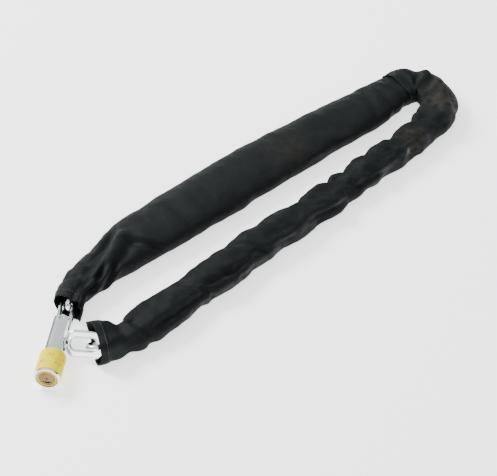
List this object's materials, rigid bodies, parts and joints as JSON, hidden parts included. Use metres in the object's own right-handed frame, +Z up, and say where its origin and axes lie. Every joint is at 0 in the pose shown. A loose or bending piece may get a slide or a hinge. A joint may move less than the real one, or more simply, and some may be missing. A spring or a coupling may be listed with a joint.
{
  "type": "chain lock",
  "caption": "Sleeved steel chain riveted to a cylinder lock head; a stud on the end link plugs into the head to close the loop.",
  "frame": {"origin": "middle of the loop's footprint, on the ground it lies on", "axes": "+X along the loop from the lock head to the far bend, +Y towards the wide run, +Z up"},
  "size_m": [0.645, 0.1539, 0.0312],
  "materials": {
    "chrome": "bright zinc-chrome plate",
    "steel": "turned",
    "gold": "turned",
    "brass": "matte",
    "seal": "matte",
    "label": "printed film",
    "nylon": "plain woven nylon"
  },
  "bodies": {
    "chain_and_sleeve": {"chain_link_04": "chrome", "chain_link_05": "chrome", "chain_link_06": "chrome", "chain_link_07": "chrome", "chain_link_08": "chrome", "chain_link_09": "chrome", "chain_link_10": "chrome", "chain_link_11": "chrome", "chain_link_12": "chrome", "chain_link_13": "chrome", "chain_link_14": "chrome", "chain_link_15": "chrome", "chain_link_16": "chrome", "chain_link_17": "chrome", "chain_link_18": "chrome", "chain_link_19": "chrome", "chain_link_20": "chrome", "chain_link_21": "chrome", "chain_link_22": "chrome", "chain_link_23": "chrome", "chain_link_24": "chrome", "chain_link_25": "chrome", "chain_link_26": "chrome", "chain_link_27": "chrome", "chain_link_28": "chrome", "chain_link_29": "chrome", "chain_link_30": "chrome", "chain_link_31": "chrome", "connector_link": "chrome", "sleeve_left": "nylon", "sleeve_bend": "nylon", "sleeve_right": "nylon"},
    "lock_head": {"lock_body": "chrome", "label_band": "label", "dust_seal": "seal", "cylinder_housing": "gold", "housing_pin": "steel", "stop_pin": "steel", "chain_rivet": "chrome", "bolt_spring": "steel", "chain_link_01": "chrome", "chain_link_02": "chrome", "chain_link_03": "chrome", "sleeve_mouth": "nylon"},
    "cylinder": {"cylinder_plug": "brass", "cam_drum": "steel", "detainer_disc_1": "brass", "detainer_disc_2": "brass", "detainer_disc_3": "brass", "detainer_disc_4": "brass", "detainer_disc_5": "brass", "detainer_disc_6": "brass"},
    "bolt": {"locking_bolt": "steel"},
    "end_link": {"end_link": "chrome"}
  },
  "joints": [
    {"name": "head_swing", "type": "hinge", "parent": "chain_and_sleeve", "child": "lock_head", "pos_m": [-0.16309, 0.03997, 0.01325], "axis": [0, 0, 1], "range_deg": [-50, 0], "deforming": ["sleeve_mouth"]},
    {"name": "key_turn", "type": "hinge", "parent": "lock_head", "child": "cylinder", "pos_m": [-0.315, -0.048, 0.01325], "axis": [0.788, 0.6157, 0], "range_deg": [0, 90]},
    {"name": "bolt_slide", "type": "slide", "parent": "lock_head", "child": "bolt", "axis": [0.788, 0.6157, 0], "range_m": [0, 0.005], "deforming": ["bolt_spring"]},
    {"name": "end_link_twist", "type": "hinge", "parent": "chain_and_sleeve", "child": "end_link", "pos_m": [-0.27402, -0.01599, 0.01325], "axis": [0.6157, -0.788, 0], "range_deg": [-3, 3]}
  ],
  "couplings": [
    {"joint": "bolt_slide", "follows": "key_turn", "m_per_rad": 0.0031831}
  ]
}
